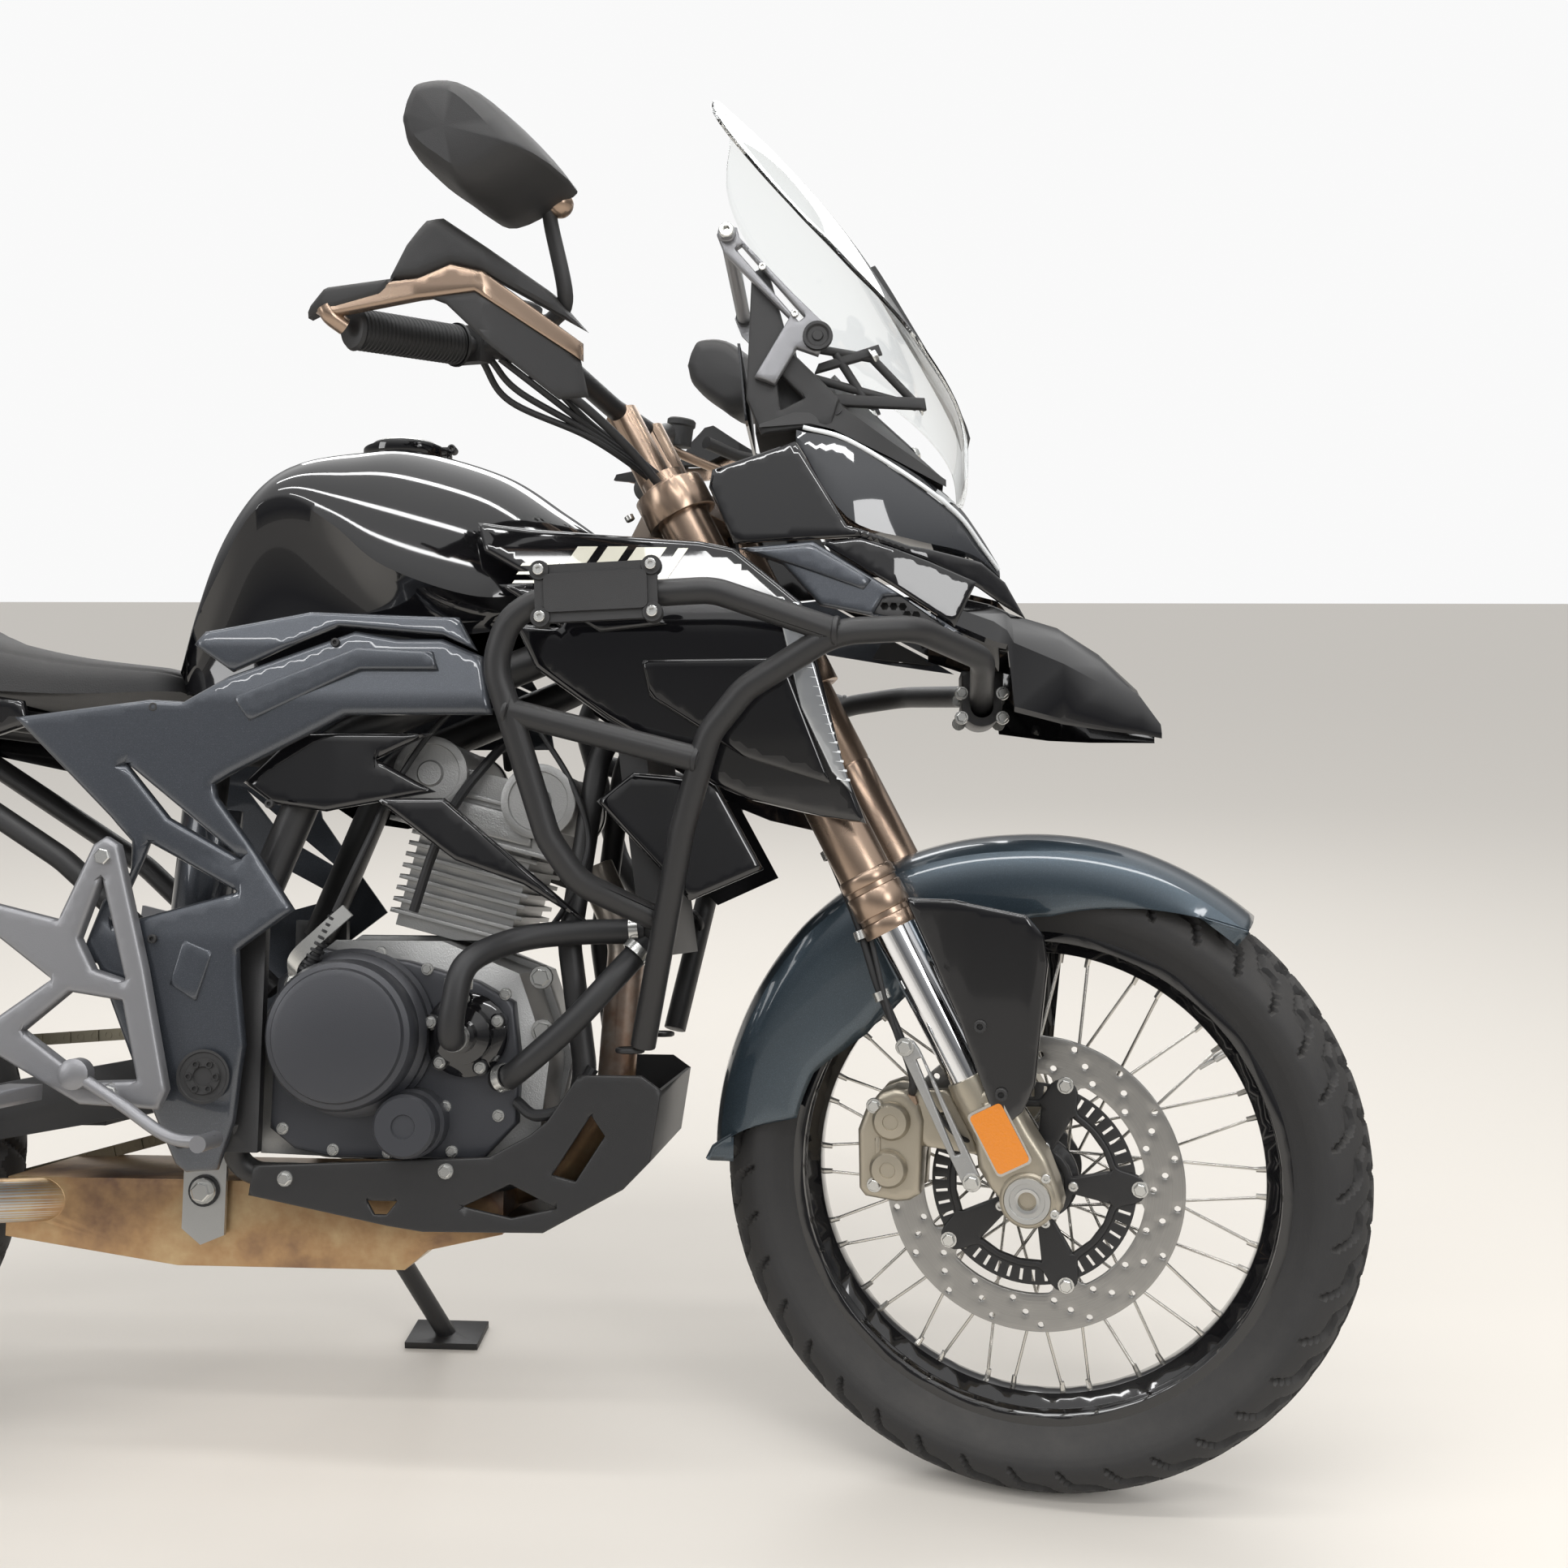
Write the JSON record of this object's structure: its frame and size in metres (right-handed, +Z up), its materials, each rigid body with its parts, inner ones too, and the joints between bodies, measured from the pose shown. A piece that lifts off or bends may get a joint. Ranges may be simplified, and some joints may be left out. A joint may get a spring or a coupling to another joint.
{
  "type": "adventure motorcycle",
  "caption": "Adventure motorcycle parked on its side stand, fork turned right, with spoked wheels, crash bars, tall screen, beak and hand guards.",
  "frame": {"origin": "on the floor under the middle of the machine's box", "axes": "+X towards the front wheel, +Y to the machine's left, +Z up; it leans 13 degrees to its left"},
  "size_m": [2.1743, 0.8958, 1.4763],
  "materials": {
    "black_gloss": "gloss black paint",
    "bronze": "bronze anodised",
    "chrome": "polished",
    "clear": "clear",
    "cover_grey": "dark grey satin",
    "engine_grey": "cast silver",
    "graphite": "satin graphite",
    "heat_bronze": "heat stained",
    "lamp": "clear lens",
    "matte_black": "matte black",
    "rim_black": "gloss black",
    "satin_black": "satin black coat",
    "seat_cover": "matte black",
    "slate_blue": "metallic slate blue",
    "steel": "brushed",
    "tyre": "matte rubber"
  },
  "bodies": {
    "chassis": {"main_frame": "satin_black", "subframe": "satin_black", "crankcase": "engine_grey", "cylinder_head": "engine_grey", "engine_covers": "cover_grey", "radiator": "matte_black", "fuel_tank": "black_gloss", "knee_panels": "graphite", "side_covers": "graphite", "shrouds": "black_gloss", "blades": "black_gloss", "beak": "black_gloss", "scoops": "graphite", "headlamp": "lamp", "windscreen": "clear", "screen_mount": "matte_black", "crash_bars": "satin_black", "skid_plate": "satin_black", "exhaust": "heat_bronze", "swingarm": "satin_black", "rear_shock": "satin_black", "footrests": "cover_grey", "seat": "seat_cover", "tail_cowl": "black_gloss", "rear_fender": "matte_black"},
    "steering": {"fork_tubes": "bronze", "fork_legs": "chrome", "triple_clamps": "bronze", "handlebar": "satin_black", "handguards": "bronze", "mirrors": "matte_black", "front_mudguard": "slate_blue", "fork_guards": "black_gloss", "front_caliper": "bronze"},
    "front_wheel": {"front_tyre": "tyre", "front_rim": "rim_black", "front_hub": "satin_black", "front_disc": "steel"},
    "rear_wheel": {"rear_tyre": "tyre", "rear_rim": "rim_black", "rear_hub": "satin_black", "rear_disc": "steel", "rear_sprocket": "steel"},
    "side_stand": {"side_stand": "satin_black"},
    "fuel_cap": {"fuel_cap": "satin_black"}
  },
  "joints": [
    {"name": "steering", "type": "hinge", "parent": "chassis", "child": "steering", "pos_m": [0.42057, -0.06052, 0.86818], "axis": [-0.4635, 0.1995, 0.8633], "range_deg": [-24, 48]},
    {"name": "front_axle", "type": "hinge", "parent": "steering", "child": "front_wheel", "pos_m": [0.76253, -0.19532, 0.32713], "axis": [0.1847, 0.9747, -0.1261], "continuous": true},
    {"name": "rear_axle", "type": "hinge", "parent": "chassis", "child": "rear_wheel", "pos_m": [-0.64656, -0.18852, 0.31159], "axis": [0.0005, 0.9744, -0.225], "continuous": true},
    {"name": "stand_pivot", "type": "hinge", "parent": "chassis", "child": "side_stand", "pos_m": [0.00359, -0.07459, 0.23734], "axis": [0.2236, 0.8037, 0.5515], "range_deg": [0, 100]},
    {"name": "cap_hinge", "type": "hinge", "parent": "chassis", "child": "fuel_cap", "pos_m": [0.1219, -0.01238, 1.07608], "axis": [0.0005, 0.9744, -0.225], "range_deg": [0, 95]}
  ]
}
